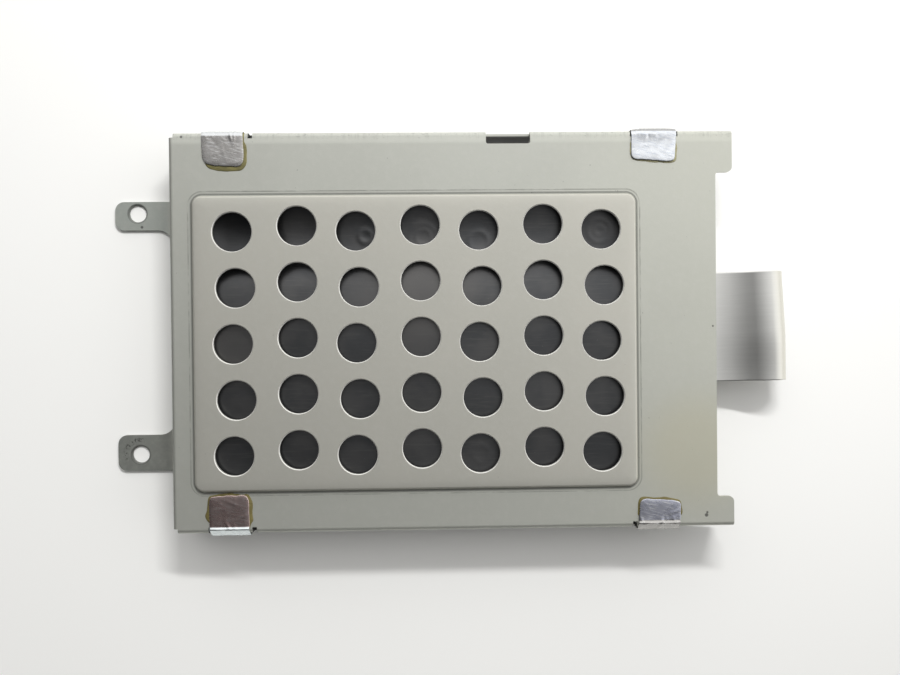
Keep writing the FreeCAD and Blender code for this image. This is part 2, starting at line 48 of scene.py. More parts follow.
# The camera stands above the lid and looks almost straight down
CAMERA_PLACE = (56.847, -0.053, 141.669)
CAMERA_TURN = (-0.462, -1.153, -0.583)
CAMERA_SPREAD = 63.4
CAMERA_SENSOR = 36.0

# The folded sheet, as the solids have it
PLATEAU_RAISE = 0.8
PLATEAU_LOW, PLATEAU_HIGH, PLATEAU_CORNER = (13.4, -28.6), (93.45, 24.82), 2.0
BEND_OUTSIDE = 0.8
BEND_ARC = BEND_OUTSIDE * np.pi / 2
LID_RIGHT = 107.85
NOTCH_PLACES, NOTCH_HALF = (16.19, 24.01, 92.79, 100.61), 0.46
WINDOW_LEFT, WINDOW_RIGHT = 65.0, 75.0
EAR_HOLE_Y, EAR_TOP = 23.125, 0.6


def box_mm(node):
    """Return the lowest and highest corner of a CAD node in millimetres."""
    return [np.array(corner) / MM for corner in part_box(node)]


tray_low, tray_high = box_mm("tray")
PLATEAU_TOP = tray_high[2]
LID_TOP = PLATEAU_TOP - PLATEAU_RAISE
SIDE_OUT = tray_high[1]


# Node trees, written as sums

# Sockets that go by number: a Mix node's factor, colours and result, an object's own place, a plain value
MIX_FACTOR, MIX_UNDER, MIX_OVER, MIX_RESULT = 0, 6, 7, 2
OBJECT_PLACE, PLAIN_VALUE = 3, 1

# Share of a line's half width that is full
LINE_CORE = 0.3


class Wire:
    """One output socket. A sum or product of wires and numbers adds Math nodes to its tree."""

    def __init__(self, loom, socket):
        self.loom, self.socket = loom, socket

    def __add__(self, other):
        return self.loom.math("ADD", self, other)

    def __sub__(self, other):
        return self.loom.math("SUBTRACT", self, other)

    def __rsub__(self, other):
        return self.loom.math("SUBTRACT", other, self)

    def __mul__(self, other):
        return self.loom.math("MULTIPLY", self, other)

    def __pow__(self, other):
        return self.loom.math("POWER", self, other)

    __radd__ = __add__


class Loom:
    """A node tree that takes nodes by their type, settings and inputs."""

    def __init__(self, tree):
        self.tree = tree

    def add(self, kind, settings=None, inputs=None, out=0):
        """Add a node: its settings are set first, then its sockets get values or links."""
        node = self.tree.nodes.new(f"ShaderNode{kind}")
        for name, value in (settings or {}).items():
            setattr(node, name, value)
        for key, value in (inputs or {}).items():
            self.feed(node.inputs[key], value)
        return Wire(self, node.outputs[out])

    def feed(self, socket, value):
        """Give a socket a value or a link."""
        if isinstance(value, Wire):
            self.tree.links.new(value.socket, socket)
        else:
            socket.default_value = value

    def math(self, operation, *values):
        """Add a Math node."""
        return self.add("Math", {"operation": operation}, dict(enumerate(values)))

    def split(self, vector):
        """Return the three parts of a vector."""
        return [self.add("SeparateXYZ", None, {0: vector}, out) for out in range(3)]

    def band(self, value, low, high):
        """Return a mask that rises smoothly from 0 at low to 1 at high."""
        ends = {"Value": value, "From Min": low, "From Max": high}
        return self.add("MapRange", {"interpolation_type": "SMOOTHSTEP"}, ends)

    def tint(self, mask, under, over):
        """Lay one colour over another by a mask."""
        inputs = {MIX_FACTOR: mask, MIX_UNDER: under, MIX_OVER: over}
        return self.add("Mix", {"data_type": "RGBA"}, inputs, MIX_RESULT)

    def stretch(self, vector, *factors):
        """Stretch a vector along its axes."""
        return self.add("VectorMath", {"operation": "MULTIPLY"}, {0: vector, 1: factors})

    def noise(self, vector, scale, detail, rough):
        """Return soft noise between about 0.2 and 0.8, with scale waves per unit."""
        inputs = {"Vector": vector, "Scale": scale, "Detail": detail, "Roughness": rough}
        return self.add("TexNoise", None, inputs)

    def patches(self, vector, noise, span):
        """Return a mask of the patches where a noise is high."""
        return self.band(self.noise(vector, *noise), *span)

    def beyond(self, x, y, low, high, corner):
        """Return the distance outside a rounded rectangle, negative within it."""
        half = [(high[i] - low[i]) / 2 - corner for i in range(2)]
        middle = [(high[i] + low[i]) / 2 for i in range(2)]
        across = self.math("ABSOLUTE", x - middle[0]) - half[0]
        along = self.math("ABSOLUTE", y - middle[1]) - half[1]
        out_x, out_y = self.math("MAXIMUM", across, 0.0), self.math("MAXIMUM", along, 0.0)
        inside = self.math("MINIMUM", self.math("MAXIMUM", across, along), 0.0)
        return (out_x * out_x + out_y * out_y) ** 0.5 + inside - corner

    def line(self, value, place, half):
        """Return a mask that is 1 where a value meets a place and fades within a half width."""
        return self.band(self.math("ABSOLUTE", value - place), half, LINE_CORE * half)

    def spot(self, vector, centre, radius, soft):
        """Return a mask that is 1 within a radius of a place and fades over a soft rim."""
        far = self.add("VectorMath", {"operation": "DISTANCE"}, {0: vector, 1: centre}, PLAIN_VALUE)
        return self.band(far, radius + soft, radius)


class Finish(Loom):
    """A material round one Principled shader, patterned in millimetres of the frame."""

    def __init__(self, name, **constants):
        self.material = bpy.data.materials.new(name)
        self.material.use_nodes = True
        super().__init__(self.material.node_tree)
        self.shader = self.tree.nodes["Principled BSDF"]
        for socket, value in constants.items():
            self.shader.inputs[socket.replace("_", " ")].default_value = value
        coordinates = self.add("TexCoord", out=OBJECT_PLACE)
        self.place = self.stretch(coordinates, 1 / MM, 1 / MM, 1 / MM)

    def set(self, socket, value):
        """Link a varying value to a socket of the shader."""
        self.feed(self.shader.inputs[socket], value)

    def bump(self, height, depth, before=None):
        """Raise the surface by a height pattern, on top of another bump where one is given."""
        inputs = {"Strength": 1.0, "Distance": depth * MM, "Height": height}
        if before:
            inputs["Normal"] = before
        return self.add("Bump", None, inputs)


def rgb(red, green, blue):
    """Return a colour with full alpha."""
    return (red, green, blue, 1.0)


# Finishes
# A noise is given by its scale, detail and roughness, a span by where a mask starts and where it is full

# Plated sheet: its tones, each with its span and share; the ear tones are painted shade, darker at the
# front, and the hole rim tone is a painted highlight
STEEL_COOL = rgb(0.565, 0.575, 0.525)
STEEL_GREEN, GREEN_SPAN, GREEN_SHARE = rgb(0.585, 0.592, 0.525), (70.0, 108.0), 0.7
STEEL_WARM, WARM_SHARE = rgb(0.60, 0.585, 0.525), 0.8
WARM_SPAN = (LID_TOP + 0.5 * PLATEAU_RAISE, PLATEAU_TOP - 0.1)
EAR_FRONT_SHADE, EAR_BACK_SHADE, EAR_CHANGE = rgb(0.305, 0.317, 0.292), rgb(0.452, 0.482, 0.448), (-10.0, 10.0)
EAR_SPAN = (7.0, 5.0)
CLOUD_TONE, CLOUD_SPAN, CLOUD_SHARE = rgb(0.50, 0.505, 0.46), (0.35, 0.7), 0.25
MOTTLE_TONE, MOTTLE_SPAN, MOTTLE_SHARE = rgb(0.66, 0.655, 0.61), (0.4, 0.75), 0.18
STAIN_TONE, STAIN_SHARE = rgb(0.60, 0.575, 0.43), 0.5
STAIN_PLACE, STAIN_RADIUS, STAIN_SOFT = (104.0, -22.0, LID_TOP), 4.0, 10.0
HOLE_RIM_HIGHLIGHT, HOLE_RIM_HIGHLIGHT_SHARE, HOLE_RIM_WITHIN = rgb(0.95, 0.94, 0.90), 0.9, (-1.0, -1.4)
HOLE_RIM_TOP = (PLATEAU_TOP - 0.02, PLATEAU_TOP - 0.05)
HOLE_RIM_FOOT = (PLATEAU_TOP - 0.2, PLATEAU_TOP - 0.17)


def sheet_colour(steel, x, y, z, beyond, clouds, mottle):
    """Return the plating's tone: cool, greener at the right, warm on the plateau, with painted shade on the
    ears and a painted highlight at the hole rims.
    """
    colour = steel.tint(steel.band(x, *GREEN_SPAN) * GREEN_SHARE, STEEL_COOL, STEEL_GREEN)
    colour = steel.tint(steel.band(z, *WARM_SPAN) * WARM_SHARE, colour, STEEL_WARM)
    # Painted shade: the ears are darkened, the front one more
    ear = steel.tint(steel.band(y, *EAR_CHANGE), EAR_FRONT_SHADE, EAR_BACK_SHADE)
    colour = steel.tint(steel.band(x, *EAR_SPAN), colour, ear)
    colour = steel.tint(steel.band(clouds, *CLOUD_SPAN) * CLOUD_SHARE, colour, CLOUD_TONE)
    colour = steel.tint(steel.band(mottle, *MOTTLE_SPAN) * MOTTLE_SHARE, colour, MOTTLE_TONE)
    stain = steel.spot(steel.place, STAIN_PLACE, STAIN_RADIUS, STAIN_SOFT)
    colour = steel.tint(stain * STAIN_SHARE, colour, STAIN_TONE)
    # Painted highlight: the hole rims are lightened in colour
    rim = steel.band(z, *HOLE_RIM_TOP) * steel.band(beyond, *HOLE_RIM_WITHIN)
    rim = rim * steel.band(z, *HOLE_RIM_FOOT)
    return steel.tint(rim * HOLE_RIM_HIGHLIGHT_SHARE, colour, HOLE_RIM_HIGHLIGHT)


# Painted shade in the bend notches, less at the back right pair, and on the wall's inner face in the latch
# window
NOTCH_SOFT, NOTCH_INNER = 0.04, (34.7, 34.8)
NOTCH_TOP, NOTCH_FOOT = (LID_TOP - 0.2, LID_TOP - 0.5), (7.9, 8.1)
LESS_SHADE_RIGHT, LESS_SHADE_BACK, LESS_SHADE_SHARE = (80.0, 85.0), (0.0, 10.0), 0.65
WINDOW_SOFT, WINDOW_TOP = 0.5, (LID_TOP - 0.4, LID_TOP - 0.7)
WINDOW_EDGE, WINDOW_EDGE_HALF = SIDE_OUT - 0.6, 0.3


def notch_and_window_shade(steel, x, y, z):
    """Return the mask of painted shade in the bend notches and the latch window."""
    notch = steel.math("ABSOLUTE", x - NOTCH_PLACES[0])
    for notch_x in NOTCH_PLACES[1:]:
        notch = steel.math("MINIMUM", notch, steel.math("ABSOLUTE", x - notch_x))
    # Painted shade: the notches and the window are darkened where they look into the shaded inside
    in_notch = steel.band(notch, NOTCH_HALF + NOTCH_SOFT, NOTCH_HALF) * steel.band(z, *NOTCH_TOP)
    in_notch = in_notch * steel.band(steel.math("ABSOLUTE", y), *NOTCH_INNER) * steel.band(z, *NOTCH_FOOT)
    in_notch = in_notch * (1 - steel.band(x, *LESS_SHADE_RIGHT) * steel.band(y, *LESS_SHADE_BACK) * LESS_SHADE_SHARE)
    in_window = steel.band(x, WINDOW_LEFT, WINDOW_LEFT + WINDOW_SOFT)
    in_window = in_window * steel.band(x, WINDOW_RIGHT, WINDOW_RIGHT - WINDOW_SOFT)
    in_window = in_window * steel.line(y, WINDOW_EDGE, WINDOW_EDGE_HALF) * steel.band(z, *WINDOW_TOP)
    return in_notch + in_window


# A ring of painted shade round each ear's hole, and scuffs of wear at the upper left of the front one
EAR_LEVEL = (1.2, 0.9)
RING_RADIUS, RING_HALF, RING_SHARE = 1.75, 0.3, 0.5
SCUFF_RADIUS, SCUFF_HALF, SCUFF_SHARE = 2.85, 0.6, 0.75
SCUFF_LEFT, SCUFF_UPPER, SCUFF_FRONT = (1.0, 0.3), (-24.4, -23.7), (-10.0, -12.0)
SCUFF_NOISE, SCUFF_SPAN = (1.9, 3.0, 0.6), (0.5, 0.58)


def ear_wear_and_shade(steel, x, y, z):
    """Return the mask round the ears' holes: a ring of painted shade and scuffs of wear."""
    ear_y = steel.math("ABSOLUTE", y) - EAR_HOLE_Y
    from_hole = (x * x + ear_y * ear_y) ** 0.5
    on_ear = steel.band(z, *EAR_LEVEL)
    # Painted shade: a dark ring stands for the shaded countersink round the hole
    ring = steel.line(from_hole, RING_RADIUS, RING_HALF) * on_ear
    upper_left = steel.band(x, *SCUFF_LEFT) * steel.band(y, *SCUFF_UPPER) * steel.band(y, *SCUFF_FRONT)
    scuff = steel.line(from_hole, SCUFF_RADIUS, SCUFF_HALF) * upper_left * on_ear
    scuff = scuff * steel.patches(steel.place, SCUFF_NOISE, SCUFF_SPAN)
    return scuff * SCUFF_SHARE + ring * RING_SHARE


# Lines at the plateau's foot, painted shade and dirt in its crease, and beside it, painted shade on the
# dark left bend, and grime, strokes and specks
LID_SPAN = (LID_TOP - 0.3, LID_TOP - 0.1)
FOOT_PLACE, FOOT_HALF, FOOT_SHARE = 0.02, 0.3, 0.55
DRAW_PLACE, DRAW_HALF, DRAW_SHARE = 0.6, 0.14, 0.3
RUB_NOISE, RUB_SPAN = (0.35, 3.0, 0.6), (0.3, 0.6)
LEFT_TOP, LEFT_FOOT = (LID_TOP - 0.03, LID_TOP - 0.1), (9.3, 9.7)
LEFT_SPAN, LEFT_SHARE = (10.6, 10.2), 0.45
BACK_SPAN, BACK_FOOT = (SIDE_OUT - 1.8, SIDE_OUT - 0.5), (LID_TOP - 0.8, LID_TOP - 0.5)
STROKE_PULL, STROKE_NOISE, STROKE_SPAN, STROKE_SHARE = (1.7, 0.2, 1.0), (1.0, 3.0, 0.6), (0.5, 0.65), 0.12
GRIME_PULL, GRIME_NOISE, GRIME_SPAN, GRIME_SHARE = (0.8, 1.6, 1.0), (2.2, 3.0, 0.65), (0.58, 0.68), 0.3
SPECK_NOISE, SPECK_SPAN, SPECK_SHARE = (1.7, 1.0, 0.5), (0.79, 0.83), 0.35

# Small pits: place and radius of each
SHEET_MARKS = [
    ((11.8, 35.15, LID_TOP), 0.12), ((105.8, -33.9, LID_TOP), 0.22), ((105.95, -33.4, LID_TOP), 0.1),
    ((0.8, 20.5, EAR_TOP), 0.15), ((107.2, 0.45, LID_TOP), 0.06),
]
MARK_SOFT, MARK_SHARE = 0.2, 0.8
# One dark tone serves dirt and painted shade alike
DIRT_AND_SHADE_TONE, DIRT_AND_SHADE_MOST = rgb(0.07, 0.07, 0.068), 0.97


def sheet_dirt_and_shade(steel, x, y, z, beyond, marks):
    """Return the mask of what is dark on the sheet: painted shade at the notches, window, ear rings and
    left bend, painted shade and dirt at the plateau's foot, and lines, marks, scuffs and grime.
    """
    place = steel.place
    on_lid = steel.band(z, *LID_SPAN)
    # Painted shade and dirt together in the crease at the plateau's foot
    foot = steel.line(beyond, FOOT_PLACE, FOOT_HALF) * on_lid
    draw_line = steel.line(beyond, DRAW_PLACE, DRAW_HALF) * on_lid
    draw_line = draw_line * steel.patches(place, RUB_NOISE, RUB_SPAN)
    # Painted shade: the left bend is darkened where it faces away from the light
    left_bend_shade = steel.band(z, *LEFT_TOP) * steel.band(z, *LEFT_FOOT) * steel.band(x, *LEFT_SPAN)
    lines = foot * FOOT_SHARE + draw_line * DRAW_SHARE + left_bend_shade * LEFT_SHARE
    near_back = steel.band(y, *BACK_SPAN) * steel.band(z, *BACK_FOOT)
    strokes = steel.patches(steel.stretch(place, *STROKE_PULL), STROKE_NOISE, STROKE_SPAN)
    grime = steel.patches(steel.stretch(place, *GRIME_PULL), GRIME_NOISE, GRIME_SPAN)
    grime = near_back * (grime * GRIME_SHARE + strokes * STROKE_SHARE)
    specks = steel.patches(place, SPECK_NOISE, SPECK_SPAN)
    dark = notch_and_window_shade(steel, x, y, z) + ear_wear_and_shade(steel, x, y, z) + marks * MARK_SHARE + lines
    return steel.math("MINIMUM", dark + grime + specks * SPECK_SHARE, DIRT_AND_SHADE_MOST)


# Gloss and relief of the plated sheet
STEEL_METALLIC = 0.65
STEEL_CLOUDS, STEEL_MOTTLE, STEEL_GRAIN = (0.045, 4.0, 0.6), (0.9, 3.0, 0.65), (6.0, 2.0, 0.6)
STEEL_ROUGH, CLOUD_ROUGH, MOTTLE_ROUGH, DIRT_AND_SHADE_ROUGH = 0.40, 0.08, 0.05, 0.1
CROWN_RATE, CROWN_DEPTH = 1.2, 0.19
ROLL_SPAN, ROLL_DEPTH = (SIDE_OUT - 0.4, SIDE_OUT - 2.2), 0.13
MARK_DEPTH, MOTTLE_DEPTH, GRAIN_DEPTH = 0.025, 0.012, 0.004


def plated_steel():
    """Satin plated sheet with soft clouds, fine grain, dirt and painted shade in its corners and softly
    rolled edges.
    """
    steel = Finish("plated_steel", Metallic=STEEL_METALLIC)
    x, y, z = steel.split(steel.place)
    clouds = steel.noise(steel.place, *STEEL_CLOUDS)
    mottle = steel.noise(steel.place, *STEEL_MOTTLE)
    grain = steel.noise(steel.place, *STEEL_GRAIN)
    beyond = steel.beyond(x, y, PLATEAU_LOW, PLATEAU_HIGH, PLATEAU_CORNER)
    marks = sum(steel.spot(steel.place, centre, radius, MARK_SOFT) for centre, radius in SHEET_MARKS)
    dark = sheet_dirt_and_shade(steel, x, y, z, beyond, marks)
    colour = sheet_colour(steel, x, y, z, beyond, clouds, mottle)
    steel.set("Base Color", steel.tint(dark, colour, DIRT_AND_SHADE_TONE))
    steel.set("Roughness", STEEL_ROUGH + clouds * CLOUD_ROUGH + mottle * MOTTLE_ROUGH + dark * DIRT_AND_SHADE_ROUGH)
    crown = 1 - steel.math("MINIMUM", steel.math("POWER", math.e, beyond * CROWN_RATE), 1.0)
    rolled = steel.bump(steel.band(y, *ROLL_SPAN), ROLL_DEPTH, steel.bump(crown, CROWN_DEPTH))
    dented = steel.bump(1 - marks, MARK_DEPTH, rolled)
    steel.set("Normal", steel.bump(grain, GRAIN_DEPTH, steel.bump(mottle, MOTTLE_DEPTH, dented)))
    return steel.material


# Each foil's tone, the tone of its scratches, and how far inside the wall its fold shows and in what tone.
# Each wrap's tone differs from the others mostly as painted reflection and shade, and the fold tone is
# painted reflection, lighter on the left wraps and darker on the right ones
FOIL_TONES = {
    "back_left": dict(
        plain=rgb(0.53, 0.515, 0.50), scratch=rgb(0.93, 0.93, 0.93),
        fold_start=0.8, fold=rgb(0.74, 0.76, 0.77)),
    "back_right": dict(
        plain=rgb(0.82, 0.85, 0.89), scratch=rgb(0.55, 0.60, 0.70),
        fold_start=0.3, fold=rgb(0.42, 0.42, 0.42)),
    "front_left": dict(
        plain=rgb(0.80, 0.61, 0.585), scratch=rgb(0.92, 0.82, 0.81),
        fold_start=1.35, fold=rgb(0.82, 0.88, 0.89)),
    "front_right": dict(
        plain=rgb(0.56, 0.58, 0.69), scratch=rgb(0.93, 0.94, 0.98),
        fold_start=1.5, fold=rgb(0.49, 0.48, 0.465)),
}
FOLD_SOFT = 0.2
FOIL_WALL_TONE, FOIL_WALL_SPAN = rgb(0.66, 0.665, 0.67), (LID_TOP - 0.95, LID_TOP - 1.3)
FOIL_CLOUD_TONE, FOIL_CLOUD_SPAN, FOIL_CLOUD_SHARE = rgb(0.5, 0.49, 0.5), (0.35, 0.7), 0.25
FOIL_CLOUDS, FOIL_CRUMPLES = (0.6, 4.0, 0.6), (1.5, 4.0, 0.6)
SCRATCH_TURN, SCRATCH_PULL, SCRATCH_NOISE = 14.0, (0.5, 5.5, 1.0), (1.0, 4.0, 0.65)
SCRATCH_SPAN, SCRATCH_SHARE = (0.52, 0.64), 0.75
PRICK_TONE, PRICK_SHARE = rgb(0.96, 0.96, 0.96), 0.8
PRICK_NOISE, PRICK_SPAN = (3.0, 2.0, 0.5), (0.66, 0.72)
FOIL_ROUGH, FOIL_CLOUD_ROUGH, SCRATCH_ROUGH = 0.17, 0.14, 0.08
CRUMPLE_DEPTH, SCRATCH_DEPTH = 0.015, 0.006


def creased_foil(wrap):
    """Foil in a tone set for its wrap as painted reflection and shade: cloudy gloss, crumples, slanting
    scratches, bright pricks and a fold in a painted lighter or darker tone.
    """
    foil = Finish(f"creased_foil_{wrap}", Metallic=1.0)
    tones = FOIL_TONES[wrap]
    _, y, z = foil.split(foil.place)
    turn = (0.0, 0.0, math.radians(SCRATCH_TURN))
    turned = foil.add("Mapping", None, {"Vector": foil.place, "Rotation": turn})
    clouds = foil.noise(foil.place, *FOIL_CLOUDS)
    crumples = foil.noise(foil.place, *FOIL_CRUMPLES)
    scratches = foil.noise(foil.stretch(turned, *SCRATCH_PULL), *SCRATCH_NOISE)
    pricks = foil.patches(foil.place, PRICK_NOISE, PRICK_SPAN)
    fold_y = SIDE_OUT - tones["fold_start"]
    at_fold = foil.band(foil.math("ABSOLUTE", y), fold_y, fold_y + FOLD_SOFT)
    cloudy = foil.band(clouds, *FOIL_CLOUD_SPAN) * FOIL_CLOUD_SHARE
    # Painted reflection and shade: the wrap's tone and, below, its fold's tone
    colour = foil.tint(cloudy, tones["plain"], FOIL_CLOUD_TONE)
    colour = foil.tint(foil.band(scratches, *SCRATCH_SPAN) * SCRATCH_SHARE, colour, tones["scratch"])
    colour = foil.tint(at_fold, colour, tones["fold"])
    colour = foil.tint(foil.band(z, *FOIL_WALL_SPAN), colour, FOIL_WALL_TONE)
    foil.set("Base Color", foil.tint(pricks * PRICK_SHARE, colour, PRICK_TONE))
    foil.set("Roughness", FOIL_ROUGH + clouds * FOIL_CLOUD_ROUGH + scratches * SCRATCH_ROUGH)
    foil.set("Normal", foil.bump(scratches, SCRATCH_DEPTH, foil.bump(crumples, CRUMPLE_DEPTH)))
    return foil.material


# Old glue: tones by place
GLUE_OLIVE, GLUE_OCHRE = rgb(0.15, 0.135, 0.055), rgb(0.205, 0.185, 0.07)
GLUE_CLOUDS, GLUE_CLOUD_SPAN = (0.5, 3.0, 0.6), (0.4, 0.65)
GLUE_BROWN, GLUE_BROWN_FRONT, GLUE_BROWN_SHARE = rgb(0.12, 0.09, 0.02), (-20.0, -25.0), 0.55
GLUE_PALE, GLUE_PALE_SHARE = rgb(0.42, 0.395, 0.25), 0.7
GLUE_PALE_RIGHT, GLUE_PALE_BACK = (70.0, 80.0), (20.0, 25.0)
GLUE_FIBRE_TONE, GLUE_FIBRE_SPAN, GLUE_FIBRE_SHARE = rgb(0.07, 0.064, 0.03), (0.5, 0.7), 0.6
GLUE_FIBRE_PULL, GLUE_FIBRE_NOISE = (1.0, 3.0, 1.0), (1.6, 4.0, 0.7)
GLUE_ROUGH, GLUE_FIBRE_ROUGH, GLUE_FIBRE_DEPTH = 0.4, 0.25, 0.06


def old_glue():
    """Aged adhesive: olive to ochre, browner at the front wraps and paler at the back right one."""
    glue = Finish("old_glue", Coat_Roughness=0.35)
    fibres = glue.noise(glue.stretch(glue.place, *GLUE_FIBRE_PULL), *GLUE_FIBRE_NOISE)
    x, y, _ = glue.split(glue.place)
    colour = glue.tint(glue.patches(glue.place, GLUE_CLOUDS, GLUE_CLOUD_SPAN), GLUE_OLIVE, GLUE_OCHRE)
    colour = glue.tint(glue.band(y, *GLUE_BROWN_FRONT) * GLUE_BROWN_SHARE, colour, GLUE_BROWN)
    pale = glue.band(x, *GLUE_PALE_RIGHT) * glue.band(y, *GLUE_PALE_BACK)
    colour = glue.tint(pale * GLUE_PALE_SHARE, colour, GLUE_PALE)
    fibrous = glue.band(fibres, *GLUE_FIBRE_SPAN) * GLUE_FIBRE_SHARE
    glue.set("Base Color", glue.tint(fibrous, colour, GLUE_FIBRE_TONE))
    glue.set("Roughness", GLUE_ROUGH + fibres * GLUE_FIBRE_ROUGH)
    glue.set("Normal", glue.bump(fibres, GLUE_FIBRE_DEPTH))
    return glue.material


# Silvered film: streaks and hairs along it, a cream end and a brown edge, by its length
FILM_DIM, FILM_CLEAR, FILM_HAIR = rgb(0.72, 0.72, 0.70), rgb(0.75, 0.75, 0.73), rgb(0.84, 0.84, 0.82)
STREAK_PULL, STREAK_NOISE, STREAK_SPAN = (0.12, 2.2, 1.0), (1.0, 4.0, 0.6), (0.35, 0.7)
HAIR_PULL, HAIR_NOISE, HAIR_SPAN, HAIR_SHARE = (0.5, 12.0, 1.0), (1.0, 3.0, 0.6), (0.55, 0.75), 0.2
CREAM_TONE, CREAM_SPAN, CREAM_SHARE = rgb(0.76, 0.735, 0.63), (23.5, 26.5), 0.6
BROWN_TONE, BROWN_SPAN, BROWN_SHARE = rgb(0.60, 0.53, 0.42), (28.2, 28.6), 0.7
FILM_CLOUDS = (0.18, 3.0, 0.55)
FILM_ROUGH, FILM_CLOUD_ROUGH, HAIR_ROUGH = 0.24, 0.1, 0.08
STREAK_DEPTH, HAIR_DEPTH = 0.0015, 0.0012


def silver_film():
    """Silvered film: fine streaks along the tab in tone, gloss and relief, by its length and width."""
    film = Finish("silver_film", Metallic=1.0)
    along = film.add("UVMap", {"uv_map": "film"})
    streaks = film.noise(film.stretch(along, *STREAK_PULL), *STREAK_NOISE)
    hairs = film.noise(film.stretch(along, *HAIR_PULL), *HAIR_NOISE)
    clouds = film.noise(along, *FILM_CLOUDS)
    colour = film.tint(film.band(streaks, *STREAK_SPAN), FILM_DIM, FILM_CLEAR)
    colour = film.tint(film.band(hairs, *HAIR_SPAN) * HAIR_SHARE, colour, FILM_HAIR)
    length = film.split(along)[0]
    colour = film.tint(film.band(length, *CREAM_SPAN) * CREAM_SHARE, colour, CREAM_TONE)
    film.set("Base Color", film.tint(film.band(length, *BROWN_SPAN) * BROWN_SHARE, colour, BROWN_TONE))
    film.set("Roughness", FILM_ROUGH + clouds * FILM_CLOUD_ROUGH + hairs * HAIR_ROUGH)
    film.set("Normal", film.bump(hairs, HAIR_DEPTH, film.bump(streaks, STREAK_DEPTH)))
    return film.material


# Bonding tape
TAPE_DARK, TAPE_PALE = rgb(0.70, 0.68, 0.60), rgb(0.82, 0.80, 0.74)
TAPE_PULL, TAPE_NOISE, TAPE_DEPTH = (0.5, 2.0, 1.0), (1.5, 4.0, 0.7), 0.02


def bond_tape():
    """Thin double-sided tape: cream with a faint fibre."""
    tape = Finish("bond_tape", Roughness=0.6)
    fibre = tape.noise(tape.stretch(tape.place, *TAPE_PULL), *TAPE_NOISE)
    tape.set("Base Color", tape.tint(fibre, TAPE_DARK, TAPE_PALE))
    tape.set("Normal", tape.bump(fibre, TAPE_DEPTH))
    return tape.material


# Dark film: clouds and lines, painted shade at the back left corner and the right end, painted sheen at
# brighter places, and dust
DARK_LOW, DARK_HIGH = rgb(0.098, 0.101, 0.106), rgb(0.13, 0.13, 0.132)
DARK_CLOUDS, DARK_CLOUD_SPAN = (0.12, 3.0, 0.55), (0.35, 0.65)
DARK_LINE_TONE, DARK_LINE_SPAN, DARK_LINE_SHARE = rgb(0.17, 0.17, 0.165), (0.5, 0.7), 0.35
DARK_LINE_PULL, DARK_LINE_NOISE = (0.2, 3.0, 1.0), (1.0, 4.0, 0.65)
LINER_SHADE_TONE, LINER_SHADE_CORNER, LINER_SHADE_CORNER_SHARE = rgb(0.03, 0.031, 0.033), ((21.3, 17.5, 9.0), 4.0, 6.0), 0.6
LINER_SHADE_END, LINER_SHADE_END_SHARE = (70.0, 88.0), 0.25
LINER_SHEEN_TONE, LINER_SHEEN_SHARE = rgb(0.19, 0.185, 0.18), 0.6
LINER_SHEEN_SPOTS = [((54.0, 7.0, 9.5), 4.0, 9.0), ((21.3, -2.5, 9.5), 4.0, 5.0)]
DUST_TONE, DUST_SHARE = rgb(0.5, 0.5, 0.49), 0.5
DUST_NOISE, DUST_SPAN = (1.3, 5.0, 0.75), (0.68, 0.74)
DARK_ROUGH, DARK_LINE_ROUGH, DUST_ROUGH, DARK_LINE_DEPTH = 0.28, 0.1, 0.2, 0.004


def dark_film():
    """Dark grey film with a soft sheen, fine lines along the tray and a little dust; painted shade darkens
    its back left corner and right end, and painted sheen lightens two places.
    """
    film = Finish("dark_film", Metallic=0.92)
    place = film.place
    lines = film.noise(film.stretch(place, *DARK_LINE_PULL), *DARK_LINE_NOISE)
    dust = film.patches(place, DUST_NOISE, DUST_SPAN)
    colour = film.tint(film.patches(place, DARK_CLOUDS, DARK_CLOUD_SPAN), DARK_LOW, DARK_HIGH)
    colour = film.tint(film.band(lines, *DARK_LINE_SPAN) * DARK_LINE_SHARE, colour, DARK_LINE_TONE)
    # Painted shade and painted sheen of the slack film
    liner_shade = film.band(film.split(place)[0], *LINER_SHADE_END) * LINER_SHADE_END_SHARE
    liner_shade = film.spot(place, *LINER_SHADE_CORNER) * LINER_SHADE_CORNER_SHARE + liner_shade
    bright = sum(film.spot(place, *spot) for spot in LINER_SHEEN_SPOTS)
    colour = film.tint(liner_shade, colour, LINER_SHADE_TONE)
    colour = film.tint(bright * LINER_SHEEN_SHARE, colour, LINER_SHEEN_TONE)
    film.set("Base Color", film.tint(dust * DUST_SHARE, colour, DUST_TONE))
    film.set("Roughness", DARK_ROUGH + lines * DARK_LINE_ROUGH + dust * DUST_ROUGH)
    film.set("Normal", film.bump(lines, DARK_LINE_DEPTH))
    return film.material


# Table
TABLE_DIM, TABLE_CLEAR = rgb(0.91, 0.908, 0.888), rgb(0.94, 0.938, 0.918)
TABLE_CLOUDS = (0.01, 3.0, 0.5)


def table_white():
    """White table top with a faint unevenness."""
    table = Finish("table_white", Roughness=0.55)
    table.set("Base Color", table.tint(table.noise(table.place, *TABLE_CLOUDS), TABLE_DIM, TABLE_CLEAR))
    return table.material


# Meshes

